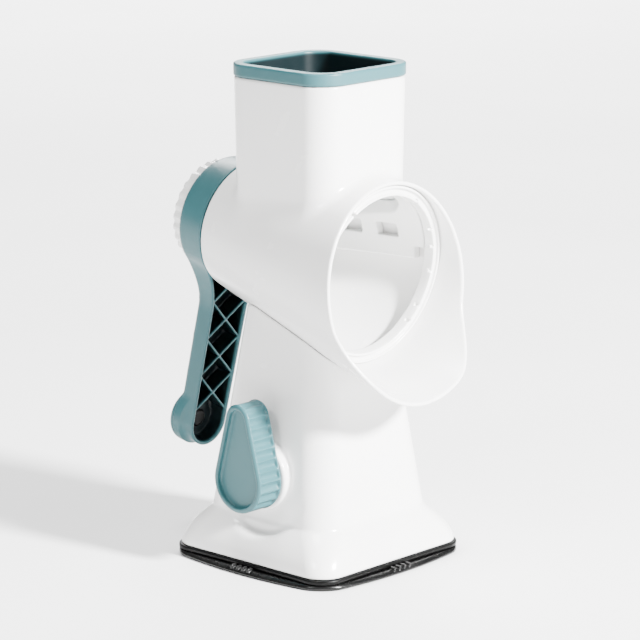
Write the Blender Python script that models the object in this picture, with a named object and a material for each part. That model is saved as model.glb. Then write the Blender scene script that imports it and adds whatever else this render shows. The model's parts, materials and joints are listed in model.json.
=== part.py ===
"""Rotary cheese grater on a suction foot, at real size.

Frame: metres, +Z up. The origin is the middle of the suction pad's flat underside. The drum mouth and its
chute face -Y, the crank is at +Y, and the suction lever is on the -X side.
The barrel is a cone whose axis drops 9 degrees towards the mouth, so that the top of the drum lies level under
the hopper. Everything on that axis is modelled in the barrel's own frame: local +Y runs back along the axis
from the centre of the mouth, local X is the world's X, and local Z is up across the axis.
"""

import math

import bmesh
import bpy
from mathutils import Matrix, Vector

# ---------------------------------------------------------------- driving dimensions
GAP = 0.0003  # between pieces that touch
WALL = 0.0025  # moulded wall

# barrel
TILT = math.radians(9.0)
MOUTH = Vector((0.0, -0.0472, 0.1781))  # centre of the mouth, on the barrel's axis
MOUTH_R = 0.0575
TAIL_R = 0.0402
TAIL_Y = 0.1075  # local Y of the barrel's back face
TAPER = (MOUTH_R - TAIL_R) / 0.108
BACK_WALL = 0.004
BUSH_BORE_R = 0.0088  # hole in the back wall for the bush
CHUTE_SIDE = 0.0165  # how far the rim stands in front of the mouth, half way down
CHUTE_SLANT = 0.253  # slope of the rim's flat cut
TONGUE = 0.0177  # how far the pouring lip stands out of that cut
TONGUE_START, TONGUE_END = math.radians(106), math.radians(152)  # from the top, where the lip leaves the cut
BARREL_SEGMENTS = 80

# hopper
HOPPER_Y = -0.0014
HOPPER_TOP = 0.2920
HOPPER_HALF = 0.0410
HOPPER_CORNER = 0.0180
HOPPER_FOOT = 0.1870  # inside the barrel, where the hopper's outline and bore both stop
HOPPER_FOOT_HALF = 0.0396

# pedestal
SKIRT_BOTTOM = 0.0065
SKIRT_TOP = 0.0300
SKIRT_HALF = 0.0630
WAIST_HALF = 0.0503
WAIST_CORNER = 0.0180
NECK_Z = 0.1720
NECK_HALF = 0.0327
SKIRT_POWER = 1.8

# foot
PAD_TOP = 0.0032
PAD_HALF = 0.0631
PAD_BULGE = 0.0065
FRAME_BOTTOM, FRAME_TOP = 0.0035, 0.0062
FRAME_HALF = 0.0641
PLATE_BOTTOM, PLATE_TOP = 0.0067, 0.0094
SCREW_POST = 0.0400  # X and Y of the four screw posts

# suction lever and its cam
LEVER_Z = 0.0571
LEVER_BACK_X = -0.0519
LEVER_FACE_X = -0.0707
LEVER_WIDE_R = 0.0194
LEVER_NARROW_R = 0.0098
LEVER_NARROW_Z = 0.0376  # from the lever's axis to the centre of its narrow end
LEVER_FLUTES = 13  # down each half of the lever's edge
SHAFT_R = 0.0040
CAM_THROW = 0.0030
CAM_R = 0.0085
BOSS_R = 0.0209
DISH_R = 0.0360  # the shallow round seat that the lever turns over
DISH_X = -0.0500
BUSH_SEAT_X = -0.0422

# crank, in the barrel's frame
CRANK_FRONT = 0.1090
ARM_BACK = 0.1240
HUB_FRONT = 0.1098
HEAD_BACK = 0.1310
HEAD_R = 0.0390
SQUARE_HALF = 0.0041  # the spindle's square, in the crank's hub
ARM_LENGTH = 0.1290  # from the axis to the centre of the arm's round end
ARM_HALF = 0.0160
ARM_END_R = 0.0150
END_BOSS_R = 0.0168  # of the round boss that backs the arm's end
ARM_FILLET = 0.0450
CRANK_SWING = math.radians(5.5)  # the arm hangs this far from plumb, towards the lever side
RIB_PITCH = 0.0236
RIB_FIRST = 0.0390
RIB_COUNT = 4
RIB_ANGLE = math.radians(50.0)
LOCK_R = 0.0325
LOCK_FRONT, LOCK_BACK = 0.1313, 0.1397
LOCK_FLUTES = 28
GRIP_R = 0.0166
GRIP_FRONT, GRIP_BACK = 0.1244, 0.1290

# pusher
PUSHER_TOP = 0.3000
PUSHER_RIM_HALF = 0.0415
PUSHER_HALF = 0.0372
PUSHER_FLOOR = 0.2345
PUSHER_INSIDE = 0.0352


# ---------------------------------------------------------------- helpers
def clear_scene():
    for obj in list(bpy.data.objects):
        bpy.data.objects.remove(obj)


def make_material(name, colour, roughness, metallic=0.0):
    material = bpy.data.materials.new(name)
    material.use_nodes = True
    shader = material.node_tree.nodes["Principled BSDF"]
    shader.inputs["Base Color"].default_value = (*colour, 1.0)
    shader.inputs["Roughness"].default_value = roughness
    shader.inputs["Metallic"].default_value = metallic
    return material


def add_object(name, mesh_tool, material, parent=None):
    """A new object from a bmesh, with its faces pointing out, shaded smooth but for its sharp edges."""
    bmesh.ops.recalc_face_normals(mesh_tool, faces=mesh_tool.faces)
    mesh = bpy.data.meshes.new(name)
    mesh_tool.to_mesh(mesh)
    mesh_tool.free()
    mesh.shade_smooth()
    mesh.set_sharp_from_angle(angle=math.radians(35))
    if material:
        mesh.materials.append(material)
    obj = bpy.data.objects.new(name, mesh)
    bpy.context.scene.collection.objects.link(obj)
    obj.parent = parent
    return obj


def add_helper(name, mesh_tool, parent=None):
    """A cutter, or a shape that a Boolean joins to another."""
    obj = add_object(name, mesh_tool, None, parent)
    obj.hide_render = True
    obj.display_type = "WIRE"
    return obj


def boolean(obj, operation, other):
    modifier = obj.modifiers.new(other.name, "BOOLEAN")
    modifier.operation = operation
    modifier.solver = "EXACT"
    modifier.object = other


def cut(obj, *others):
    for other in others:
        boolean(obj, "DIFFERENCE", other)


def join(obj, *others):
    for other in others:
        boolean(obj, "UNION", other)


def loft(rings, closed=False):
    """A mesh through rings of points, each with the same number of points. It is capped at both ends,
    or joined end to start where closed is set."""
    mesh_tool = bmesh.new()
    rows = [[mesh_tool.verts.new(point) for point in ring] for ring in rings]
    count = len(rows[0])
    pairs = list(zip(rows, rows[1:]))
    if closed:
        pairs.append((rows[-1], rows[0]))
    for low, high in pairs:
        for i in range(count):
            j = (i + 1) % count
            mesh_tool.faces.new((low[i], low[j], high[j], high[i]))
    if not closed:
        mesh_tool.faces.new(rows[0])
        mesh_tool.faces.new(rows[-1])
    return mesh_tool


def lathe(profile, segments, closed=True):
    """Turns (radius, y) points round the local Y axis. A closed profile leaves a hole down the middle,
    and an open one is capped by a flat disc at each end."""
    rings = []
    for radius, y in profile:
        ring = []
        for i in range(segments):
            angle = 2 * math.pi * i / segments
            ring.append((radius * math.sin(angle), y, radius * math.cos(angle)))
        rings.append(ring)
    return loft(rings, closed)


def smooth_step(share):
    share = min(1.0, max(0.0, share))
    return share * share * (3 - 2 * share)


def turned(mesh_tool, matrix):
    mesh_tool.transform(matrix)
    return mesh_tool


def along_z(mesh_tool, x=0.0, y=0.0):
    """Stands a lathed mesh upright, so that its Y axis becomes +Z through (x, y)."""
    return turned(mesh_tool, Matrix.Translation((x, y, 0)) @ Matrix.Rotation(math.radians(90), 4, "X"))


def along_x(mesh_tool, z=0.0):
    """Lays a lathed mesh down, so that its Y axis becomes +X at height z."""
    return turned(mesh_tool, Matrix.Translation((0, 0, z)) @ Matrix.Rotation(math.radians(-90), 4, "Z"))


def box(low, high):
    mesh_tool = bmesh.new()
    size = Vector(high) - Vector(low)
    middle = (Vector(high) + Vector(low)) / 2
    bmesh.ops.create_cube(mesh_tool, size=1.0, matrix=Matrix.Translation(middle) @ Matrix.Diagonal((*size, 1)))
    return mesh_tool


def merged(parts):
    """One mesh that holds several bmeshes side by side."""
    whole = bmesh.new()
    for part in parts:
        mesh = bpy.data.meshes.new("part")
        part.to_mesh(mesh)
        part.free()
        whole.from_mesh(mesh)
        bpy.data.meshes.remove(mesh)
    return whole


def rounded_square(half, corner, z, centre_y=0.0, steps=8, side_steps=1):
    """Points of a square with round corners at height z, anticlockwise seen from above."""
    points = []
    reach = half - corner
    for quarter, (sx, sy) in enumerate(((1, 1), (-1, 1), (-1, -1), (1, -1))):
        for step in range(steps + 1):
            angle = math.radians(90) * (quarter + step / steps)
            x = sx * reach + corner * math.cos(angle)
            y = sy * reach + corner * math.sin(angle)
            points.append((x, centre_y + y, z))
        following = ((-1, 1), (-1, -1), (1, -1), (1, 1))[quarter]
        end_angle = math.radians(90) * (quarter + 1)
        x_end = following[0] * reach + corner * math.cos(end_angle)
        y_end = following[1] * reach + corner * math.sin(end_angle)
        x_now, y_now = points[-1][0], points[-1][1] - centre_y
        for step in range(1, side_steps):
            share = step / side_steps
            points.append(
                (x_now + (x_end - x_now) * share, centre_y + y_now + (y_end - y_now) * share, z)
            )
    return points


# ---------------------------------------------------------------- barrel and hopper
def cone_radius(y):
    return MOUTH_R - TAPER * y


def chute_reach(angle):
    """How far the rim stands in front of the mouth, at an angle from the top: a slanting flat cut, with a
    tongue at the bottom."""
    lean = CHUTE_SLANT * math.cos(angle)
    flat = (CHUTE_SIDE - MOUTH_R * lean) / (1 + TAPER * lean)
    from_top = min(angle, 2 * math.pi - angle)
    return flat + TONGUE * smooth_step((from_top - TONGUE_START) / (TONGUE_END - TONGUE_START))


def barrel_cone(shift, front, back):
    """A solid cone parallel to the barrel's outside, shift metres further out."""
    return lathe(
        [(cone_radius(front) + shift, front), (cone_radius(back) + shift, back)],
        BARREL_SEGMENTS,
        closed=False,
    )


def barrel_shell():
    """The barrel with its chute, as one closed profile carried round the axis."""
    wall_y = TAIL_Y - BACK_WALL
    edge = 0.0012
    lip = 0.0010
    rings = []
    for i in range(BARREL_SEGMENTS):
        angle = 2 * math.pi * i / BARREL_SEGMENTS
        front = -chute_reach(angle)
        outside = cone_radius(front)
        profile = [
            (BUSH_BORE_R, TAIL_Y),
            (cone_radius(TAIL_Y) - edge, TAIL_Y),
            (cone_radius(TAIL_Y - edge), TAIL_Y - edge),
            (cone_radius(0.0), 0.0),
            (outside, front),
            (outside - 0.3 * WALL, front - 0.7 * lip),
            (outside - 0.7 * WALL, front - 0.7 * lip),
            (outside - WALL, front),
            (cone_radius(0.0) - WALL, 0.0),
            (cone_radius(wall_y) - WALL, wall_y),
            (BUSH_BORE_R, wall_y),
        ]
        rings.append([(r * math.sin(angle), y, r * math.cos(angle)) for r, y in profile])
    return loft(rings, closed=True)


def barrel_underside(y):
    """World height of the barrel's lowest line at world y."""
    slope = math.cos(TILT) - TAPER * math.sin(TILT)
    along = (y - MOUTH.y - MOUTH_R * math.sin(TILT)) / slope
    return MOUTH.z + along * math.sin(TILT) - cone_radius(along) * math.cos(TILT)


SADDLE_SCREWS = (-0.016, 0.020)  # Y of the two screws that hold the barrel to the pedestal
SADDLE_WALL = 0.0030
SADDLE_BOSS_R = 0.0045
SADDLE_BOSS_LENGTH = 0.0085


def make_barrel(axis, white):
    barrel = add_object("barrel_housing", barrel_shell(), white, axis)

    hopper = add_helper(
        "hopper_outside",
        loft(
            [
                rounded_square(HOPPER_FOOT_HALF, HOPPER_CORNER, HOPPER_FOOT, HOPPER_Y),
                rounded_square(HOPPER_HALF, HOPPER_CORNER, HOPPER_TOP, HOPPER_Y),
            ]
        ),
    )
    trim = add_helper("hopper_trim", barrel_cone(-WALL / 2, -0.03, 0.12), axis)
    cut(hopper, trim)
    join(barrel, hopper)

    bore = add_helper(
        "hopper_bore",
        loft(
            [
                rounded_square(HOPPER_FOOT_HALF - WALL, HOPPER_CORNER - WALL, HOPPER_FOOT + 0.002, HOPPER_Y),
                rounded_square(HOPPER_HALF - WALL, HOPPER_CORNER - WALL, HOPPER_TOP + 0.002, HOPPER_Y),
            ]
        ),
    )
    cut(barrel, bore)

    bosses, pilots = [], []
    for y in SADDLE_SCREWS:
        top = barrel_underside(y)
        low = top - SADDLE_BOSS_LENGTH
        bosses.append(along_z(lathe([(SADDLE_BOSS_R, low), (SADDLE_BOSS_R, top + 0.0018)], 24, False), 0, y))
        pilots.append(along_z(lathe([(0.0018, low - 0.001), (0.0018, top - 0.0005)], 16, False), 0, y))
    join(barrel, add_helper("saddle_bosses", merged(bosses)))
    cut(barrel, add_helper("saddle_pilots", merged(pilots)))
    return bore


RING_R = 0.0546
RING_BORE_R = 0.0485
RING_FRONT, RING_BACK = -0.0012, 0.0058
RING_NOTCHES = (34.0, 64.0, 78.0, 96.0, 122.0, 135.0)  # degrees from the top, down each side


def make_mouth_ring(axis, white):
    """The ring that carries the drum's front edge: two raised lips with a groove between them."""
    groove = 0.0016
    outer_back = cone_radius(RING_BACK) - WALL - GAP
    ring = add_object(
        "mouth_ring",
        lathe(
            [
                (RING_BORE_R, RING_FRONT + 0.0006),
                (RING_BORE_R + 0.0004, RING_FRONT),
                (RING_BORE_R + 0.0014, RING_FRONT),
                (RING_BORE_R + 0.0018, RING_FRONT + groove),
                (RING_R - 0.0018, RING_FRONT + groove),
                (RING_R - 0.0014, RING_FRONT),
                (RING_R - 0.0004, RING_FRONT),
                (RING_R, RING_FRONT + 0.0006),
                (outer_back, RING_BACK),
                (RING_BORE_R, RING_BACK),
            ],
            BARREL_SEGMENTS,
        ),
        white,
        axis,
    )
    notches = []
    low = (-0.0010, RING_FRONT - 0.001, RING_BORE_R - 0.001)
    high = (0.0010, 0.0022, RING_BORE_R + 0.0024)
    for degrees in RING_NOTCHES:
        for side in (-1, 1):
            notches.append(turned(box(low, high), Matrix.Rotation(math.radians(side * degrees), 4, "Y")))
    cut(ring, add_helper("ring_notches", merged(notches), axis))


def make_throat_liner(axis, bore, white):
    """The saddle inside the top of the chamber: an apron with two windows down each side of the feed opening."""
    front, back = 0.0066, 0.0985
    outer = WALL + GAP
    thickness = 0.0056
    liner = add_object(
        "throat_liner",
        lathe(
            [
                (cone_radius(front) - outer, front),
                (cone_radius(back) - outer, back),
                (cone_radius(back) - outer - thickness, back),
                (cone_radius(front) - outer - thickness, front),
            ],
            BARREL_SEGMENTS,
        ),
        white,
        axis,
    )
    hem = 0.1790
    step_y, step_z = -0.0350, 0.1865
    window_low, window_high = 0.1914, 0.1996
    far = 0.07
    cutters = [
        box((-far, -far, 0.10), (far, far, hem)),
        box((-far, -far, 0.10), (far, step_y, step_z)),
    ]
    for y in (-0.0250, 0.0012):
        cutters.append(box((-far, y, window_low), (far, y + 0.0150, window_high)))
    cut(liner, bore)
    for index, cutter in enumerate(cutters):
        cut(liner, add_helper(f"liner_cutter_{index}", cutter))


def make_spindle_bush(axis, grey):
    bore, neck, flange = 0.0062, BUSH_BORE_R - GAP, 0.0120
    wall_y = TAIL_Y - BACK_WALL
    profile = [
        (bore, wall_y - 0.0018),
        (flange, wall_y - 0.0018),
        (flange, wall_y - GAP),
        (neck, wall_y - GAP),
        (neck, TAIL_Y - 0.0002),
        (bore, TAIL_Y - 0.0002),
    ]
    add_object("spindle_bush", lathe(profile, 36), grey, axis)


# ---------------------------------------------------------------- pedestal
def pedestal_sections(inset, low=SKIRT_BOTTOM):
    """Rounded-square rings from the skirt's foot to the neck, inset metres inside the outer skin."""
    rings = []
    steps = 7
    for step in range(steps + 1):
        share = step / steps
        z = SKIRT_BOTTOM + (SKIRT_TOP - SKIRT_BOTTOM) * share
        half = WAIST_HALF + (SKIRT_HALF - WAIST_HALF) * (1 - share**SKIRT_POWER)
        corner = 0.0150 + (WAIST_CORNER - 0.0150) * share
        if step == 0:
            z = low
        rings.append(rounded_square(half - inset, corner - inset, z))
    rings.append(rounded_square(NECK_HALF - inset, WAIST_CORNER - inset, NECK_Z))
    return rings


def make_pedestal(axis, white):
    pedestal = add_object("pedestal", loft(pedestal_sections(0.0)), white)
    inside = add_helper("pedestal_inside", loft(pedestal_sections(WALL, SKIRT_BOTTOM - 0.001)))
    floor = add_helper("saddle_clearance", barrel_cone(GAP + SADDLE_WALL, -0.03, 0.12), axis)
    dish = along_x(lathe([(DISH_R, -0.080), (DISH_R, DISH_X)], 64, False), LEVER_Z)
    dish_wall = along_x(lathe([(DISH_R + WALL, -0.080), (DISH_R + WALL, DISH_X + WALL)], 64, False), LEVER_Z)
    cut(inside, floor, add_helper("dish_wall", dish_wall))
    cut(pedestal, inside)
    cut(pedestal, add_helper("lever_dish", dish))
    boss = along_x(lathe([(BOSS_R, LEVER_BACK_X + 0.0004), (BOSS_R, -0.0432)], 48, False), LEVER_Z)
    seat = along_x(lathe([(0.0105, -0.0475), (0.0105, BUSH_SEAT_X)], 32, False), LEVER_Z)
    join(pedestal, add_helper("lever_boss", boss), add_helper("bush_seat", seat))
    cut(pedestal, add_helper("saddle", barrel_cone(GAP, -0.03, 0.12), axis))

    posts, pilots, holes = [], [], []
    for sx in (-1, 1):
        for sy in (-1, 1):
            x, y = sx * SCREW_POST, sy * SCREW_POST
            posts.append(along_z(lathe([(0.0040, PLATE_TOP + GAP), (0.0040, 0.044)], 20, False), x, y))
            pilots.append(along_z(lathe([(0.0018, 0.008), (0.0018, 0.024)], 16, False), x, y))
    for y in SADDLE_SCREWS:
        top = barrel_underside(y)
        holes.append(along_z(lathe([(0.0049, top - 0.012), (0.0049, top + 0.004)], 24, False), 0, y))
    join(pedestal, add_helper("screw_posts", merged(posts)))
    cut(pedestal, add_helper("post_pilots", merged(pilots)))
    cut(pedestal, add_helper("boss_holes", merged(holes)))
    shaft_hole = along_x(lathe([(0.0068, -0.060), (0.0068, -0.030)], 32, False), LEVER_Z)
    cut(pedestal, add_helper("shaft_hole", shaft_hole))


def screw(name, x, y, head_z, head_height, tip_z, head_r, metal):
    """A pan-head screw that points up from its head."""
    step = math.copysign(head_height, tip_z - head_z)
    shank = 0.0014
    profile = [
        (head_r * 0.75, head_z),
        (head_r, head_z + 0.35 * step),
        (head_r, head_z + step),
        (shank, head_z + step),
        (shank, tip_z - 0.6 * step),
        (shank * 0.4, tip_z),
    ]
    add_object(name, along_z(lathe(profile, 20, False), x, y), metal)


def make_saddle_fasteners(metal):
    for index, y in enumerate(SADDLE_SCREWS, 1):
        seat = barrel_underside(y) - SADDLE_BOSS_LENGTH - GAP
        thickness = 0.0010
        washer = [(0.0022, seat - thickness), (0.0080, seat - thickness), (0.0080, seat), (0.0022, seat)]
        add_object(f"saddle_washer_{index}", along_z(lathe(washer, 28), 0, y), metal)
        head = seat - thickness - GAP - 0.0022
        screw(f"saddle_screw_{index}", 0, y, head, 0.0022, seat + 0.0072, 0.0036, metal)


# ---------------------------------------------------------------- foot
def bulged(points, bulge, half):
    """Bows the sides of a square outline outwards, and leaves its corners where they are."""
    bowed = []
    for x, y, z in points:
        wide_x = x * (1 + bulge / half * (1 - min(1.0, (y / half) ** 2)))
        wide_y = y * (1 + bulge / half * (1 - min(1.0, (x / half) ** 2)))
        bowed.append((wide_x, wide_y, z))
    return bowed


def pad_ring(z, half, bulge):
    return bulged(rounded_square(half, 0.0140, z, steps=5, side_steps=9), bulge, half)


def make_suction_pad(rubber):
    pad = add_object(
        "suction_pad",
        loft(
            [
                pad_ring(0.0, PAD_HALF - 0.0006, PAD_BULGE),
                pad_ring(0.0008, PAD_HALF, PAD_BULGE),
                pad_ring(0.0018, PAD_HALF, PAD_BULGE),
                pad_ring(PAD_TOP, PAD_HALF - 0.0006, 0.6 * PAD_BULGE),
            ]
        ),
        rubber,
    )
    boss = along_z(lathe([(0.0120, 0.0020), (0.0120, 0.0070), (0.0110, 0.0080)], 32, False))
    join(pad, add_helper("pad_boss", boss))
    socket = along_z(lathe([(0.0083, 0.0030), (0.0083, 0.0058), (0.0036, 0.0058), (0.0036, 0.0090)], 28, False))
    cut(pad, add_helper("pad_socket", socket))
    bars = []
    for side in range(4):
        for place in (-0.0066, -0.0022, 0.0022, 0.0066):
            bar = box((0.0648, place - 0.0008, 0.0022), (0.0689, place + 0.0008, 0.0048))
            bars.append(turned(bar, Matrix.Rotation(math.radians(90 * side), 4, "Z")))
    join(pad, add_helper("pad_tab_bars", merged(bars)))


def make_base_frame(black):
    inner = 0.0560
    rings = [
        rounded_square(inner, 0.0110, FRAME_BOTTOM, steps=6),
        rounded_square(FRAME_HALF - 0.0004, 0.0150, FRAME_BOTTOM, steps=6),
        rounded_square(FRAME_HALF, 0.0150, FRAME_BOTTOM + 0.0006, steps=6),
        rounded_square(FRAME_HALF - 0.0004, 0.0150, FRAME_TOP, steps=6),
        rounded_square(inner, 0.0110, FRAME_TOP, steps=6),
    ]
    add_object("base_frame", loft(rings, closed=True), black)


def make_base_plate(grey):
    plate = add_object(
        "base_plate",
        loft(
            [
                rounded_square(0.0585, 0.0110, PLATE_BOTTOM, steps=5),
                rounded_square(0.0577, 0.0110, PLATE_TOP, steps=5),
            ]
        ),
        grey,
    )
    holes = [along_z(lathe([(0.0135, 0.004), (0.0135, 0.012)], 32, False))]
    for sx in (-1, 1):
        for sy in (-1, 1):
            hole = lathe([(0.0020, 0.004), (0.0020, 0.012)], 16, False)
            holes.append(along_z(hole, sx * SCREW_POST, sy * SCREW_POST))
        holes.append(along_z(lathe([(0.0018, 0.004), (0.0018, 0.012)], 16, False), sx * FOOT_SCREW_X, 0))
    cut(plate, add_helper("plate_holes", merged(holes)))


def make_base_screws(metal):
    index = 0
    for sx in (-1, 1):
        for sy in (-1, 1):
            index += 1
            head = PLATE_BOTTOM - GAP - 0.0020
            screw(f"base_screw_{index}", sx * SCREW_POST, sy * SCREW_POST, head, 0.0020, 0.0205, 0.0034, metal)


# ---------------------------------------------------------------- suction lever, cam and pull rod
UPRIGHT_X = 0.0160  # inner face of the cam frame's two uprights
UPRIGHT_THICK = 0.0060
WEB_LOW, WEB_HIGH = 0.0187, 0.0217
FOOT_SCREW_X = 0.0275


def make_cam_frame(grey):
    """A bridge on the base plate: two uprights that carry the cam shaft, and a web that guides the pull rod."""
    foot_z = PLATE_TOP + GAP
    outer = UPRIGHT_X + UPRIGHT_THICK
    depth = 0.0100
    frame = add_object("cam_frame", box((-UPRIGHT_X - 0.001, -depth, WEB_LOW), (UPRIGHT_X + 0.001, depth, WEB_HIGH)), grey)
    shapes = []
    for side in (-1, 1):
        inner_x, outer_x = sorted((side * UPRIGHT_X, side * outer))
        shapes.append(box((inner_x, -depth, foot_z), (outer_x, depth, LEVER_Z + 0.0095)))
    join(frame, add_helper("uprights", merged(shapes)))
    feet = []
    for side in (-1, 1):
        near, far = sorted((side * (outer - 0.001), side * (outer + 0.0110)))
        feet.append(box((near, -depth + 0.001, foot_z), (far, depth - 0.001, foot_z + 0.0026)))
    join(frame, add_helper("cam_frame_feet", merged(feet)))
    cutters = [
        along_x(lathe([(SHAFT_R + GAP, -0.03), (SHAFT_R + GAP, 0.03)], 28, False), LEVER_Z),
        along_z(lathe([(0.0034, 0.016), (0.0034, 0.025)], 24, False)),
    ]
    for side in (-1, 1):
        cutters.append(along_z(lathe([(0.0018, 0.008), (0.0018, 0.014)], 16, False), side * FOOT_SCREW_X, 0))
    for index, cutter in enumerate(cutters):
        cut(frame, add_helper(f"cam_frame_cutter_{index}", cutter))


def make_cam_frame_screws(metal):
    for index, side in enumerate((-1, 1), 1):
        head = PLATE_TOP + GAP + 0.0026 + GAP + 0.0020
        screw(f"cam_frame_screw_{index}", side * FOOT_SCREW_X, 0, head, 0.0020, 0.0072, 0.0030, metal)


def make_cam_shaft(metal):
    """The shaft that the lever turns, with the eccentric that lifts the pull rod. Its frame is on its own axis."""
    shaft = add_object("cam_shaft", along_x(lathe([(SHAFT_R, -0.0590), (SHAFT_R, 0.0240)], 28, False)), metal)
    shaft.location.z = LEVER_Z
    cam = turned(along_x(lathe([(CAM_R, -0.0026), (CAM_R, 0.0026)], 36, False)), Matrix.Translation((0, CAM_THROW, 0)))
    helper = add_helper("cam_disc", cam)
    helper.location.z = LEVER_Z
    join(shaft, helper)


def make_shaft_clip(metal):
    near = -UPRIGHT_X - UPRIGHT_THICK - GAP
    bore = SHAFT_R + GAP
    profile = [(bore, near - 0.0010), (0.0072, near - 0.0010), (0.0072, near), (bore, near)]
    add_object("shaft_clip", along_x(lathe(profile, 28), LEVER_Z), metal)


def make_lever_bush(grey):
    """A flanged bush in the pedestal's wall, with its flange inside."""
    bore, neck, flange = SHAFT_R + GAP, 0.0068 - GAP, 0.0092
    near, far = BUSH_SEAT_X + GAP, BUSH_SEAT_X + GAP + 0.0015
    profile = [
        (bore, LEVER_BACK_X + 0.0006),
        (neck, LEVER_BACK_X + 0.0006),
        (neck, near),
        (flange, near),
        (flange, far),
        (bore, far),
    ]
    add_object("lever_bush", along_x(lathe(profile, 32), LEVER_Z), grey)


def egg_edge(distance, offset):
    """The (y, z) point offset metres outside the lever's egg outline, distance metres along it from its lowest
    point: a wide arc, a straight flank, and a narrow arc at the top."""
    lean = math.asin((LEVER_WIDE_R - LEVER_NARROW_R) / LEVER_NARROW_Z)
    arc = LEVER_WIDE_R * (math.pi / 2 + lean)
    flank = LEVER_NARROW_Z * math.cos(lean)
    if distance < arc:
        angle = distance / LEVER_WIDE_R - math.pi / 2
        radius, centre_z = LEVER_WIDE_R, 0.0
    elif distance < arc + flank:
        angle = lean
        radius, centre_z = LEVER_WIDE_R, 0.0
    else:
        angle = lean + (distance - arc - flank) / LEVER_NARROW_R
        radius, centre_z = LEVER_NARROW_R, LEVER_NARROW_Z
    slide = min(max(distance - arc, 0.0), flank) if centre_z == 0.0 else 0.0
    y = (radius + offset) * math.cos(angle) - slide * math.sin(lean)
    z = centre_z + (radius + offset) * math.sin(angle) + slide * math.cos(lean)
    return y, z


def egg_half_length():
    lean = math.asin((LEVER_WIDE_R - LEVER_NARROW_R) / LEVER_NARROW_Z)
    return (
        LEVER_WIDE_R * (math.pi / 2 + lean)
        + LEVER_NARROW_Z * math.cos(lean)
        + LEVER_NARROW_R * (math.pi / 2 - lean)
    )


def egg_ring(x, inset, flute=0.0):
    """The lever's outline at x, with its thumb flutes cut flute metres deep."""
    half_length = egg_half_length()
    count = LEVER_FLUTES * 4
    right = []
    for step in range(count + 1):
        share = step / count
        wave = 0.5 - 0.5 * math.cos(2 * math.pi * LEVER_FLUTES * share)
        fade = min(1.0, 5 * share, 6 * (1 - share))
        right.append(egg_edge(half_length * share, -inset - flute * wave * fade))
    left = [(-y, z) for y, z in reversed(right[1:-1])]
    return [(x, y, z) for y, z in right + left]


def make_suction_knob(teal):
    """The egg-shaped lever: a cap with a sunk face and thumb flutes round its edge. Its frame is on the shaft's
    axis."""
    back, face = LEVER_BACK_X, LEVER_FACE_X
    flute = 0.0013
    knob = add_object(
        "suction_knob",
        loft(
            [
                egg_ring(back, 0.0010),
                egg_ring(back - 0.0008, 0.0002),
                egg_ring(back - 0.0018, 0.0),
                egg_ring(back - 0.0026, 0.0006, flute),
                egg_ring(face + 0.0028, 0.0010, flute),
                egg_ring(face + 0.0018, 0.0007),
                egg_ring(face + 0.0005, 0.0012),
                egg_ring(face, 0.0022),
            ]
        ),
        teal,
    )
    knob.location.z = LEVER_Z
    recess = add_helper("knob_recess", loft([egg_ring(face + 0.0032, 0.0044), egg_ring(face - 0.002, 0.0036)]))
    bore = lathe([(SHAFT_R + GAP, -0.0603), (SHAFT_R + GAP, -0.045)], 28, False)
    socket = add_helper("knob_socket", along_x(bore))
    for helper in (recess, socket):
        helper.location.z = LEVER_Z
        cut(knob, helper)


def make_pull_rod(metal):
    """The rod that lifts the middle of the pad, with a yoke round the cam."""
    flange_low, flange_high = 0.0034, 0.0054
    yoke_half_y, yoke_half_z, yoke_half_x = 0.0152, 0.0140, 0.0030
    window_y, window_z = 0.0122, 0.0098
    profile = [
        (0.0080, flange_low),
        (0.0080, flange_high),
        (0.0030, flange_high),
        (0.0030, LEVER_Z - yoke_half_z + 0.001),
    ]
    rod = add_object("pull_rod", along_z(lathe(profile, 28, False)), metal)
    yoke = box(
        (-yoke_half_x, -yoke_half_y, LEVER_Z - yoke_half_z),
        (yoke_half_x, yoke_half_y, LEVER_Z + yoke_half_z),
    )
    join(rod, add_helper("yoke", yoke))
    window = box((-0.01, -window_y, LEVER_Z - window_z), (0.01, window_y, LEVER_Z + window_z))
    cut(rod, add_helper("yoke_window", window))


def make_return_spring(metal):
    """A coil round the pull rod, between the pad's boss and the frame's web, that pushes the pad down again."""
    radius, wire = 0.0056, 0.0005
    low, high = 0.0080 + GAP + wire, WEB_LOW - GAP - wire
    turns, per_turn = 4.5, 20
    count = int(turns * per_turn)
    rings = []
    sides = 8
    for step in range(count + 1):
        share = step / count
        angle = 2 * math.pi * turns * share
        ease = min(1.0, max(0.0, (share - 0.12) / 0.76))
        centre = Vector((radius * math.cos(angle), radius * math.sin(angle), low + (high - low) * ease))
        outward = Vector((math.cos(angle), math.sin(angle), 0))
        ring = []
        for side in range(sides):
            around = 2 * math.pi * side / sides
            ring.append(centre + wire * (math.cos(around) * outward + math.sin(around) * Vector((0, 0, 1))))
        rings.append(ring)
    add_object("return_spring", loft(rings), metal)


# ---------------------------------------------------------------- crank
def crank_profile(inset):
    """(along, half width) pairs down the crank, from the top of its head to the tip of its arm."""
    head, arm = HEAD_R - inset, ARM_HALF - inset
    fillet, end = ARM_FILLET + inset, ARM_END_R - inset
    centre_side = arm + fillet
    centre_along = math.sqrt((head + fillet) ** 2 - centre_side**2)
    touch = math.atan2(centre_side, centre_along)
    pairs = []
    head_steps = 18
    for step in range(1, head_steps + 1):
        angle = math.pi - (math.pi - touch) * step / head_steps
        pairs.append((head * math.cos(angle), head * math.sin(angle)))
    fillet_steps = 6
    for step in range(1, fillet_steps + 1):
        angle = touch + (math.pi / 2 - touch) * step / fillet_steps
        pairs.append((centre_along - fillet * math.cos(angle), centre_side - fillet * math.sin(angle)))
    lean = math.atan2(arm - end, ARM_LENGTH - centre_along)
    end_steps = 9
    for step in range(end_steps):
        angle = math.pi / 2 - lean - (math.pi / 2 - lean) * step / end_steps
        pairs.append((ARM_LENGTH + end * math.cos(angle), end * math.sin(angle)))
    return pairs


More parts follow.
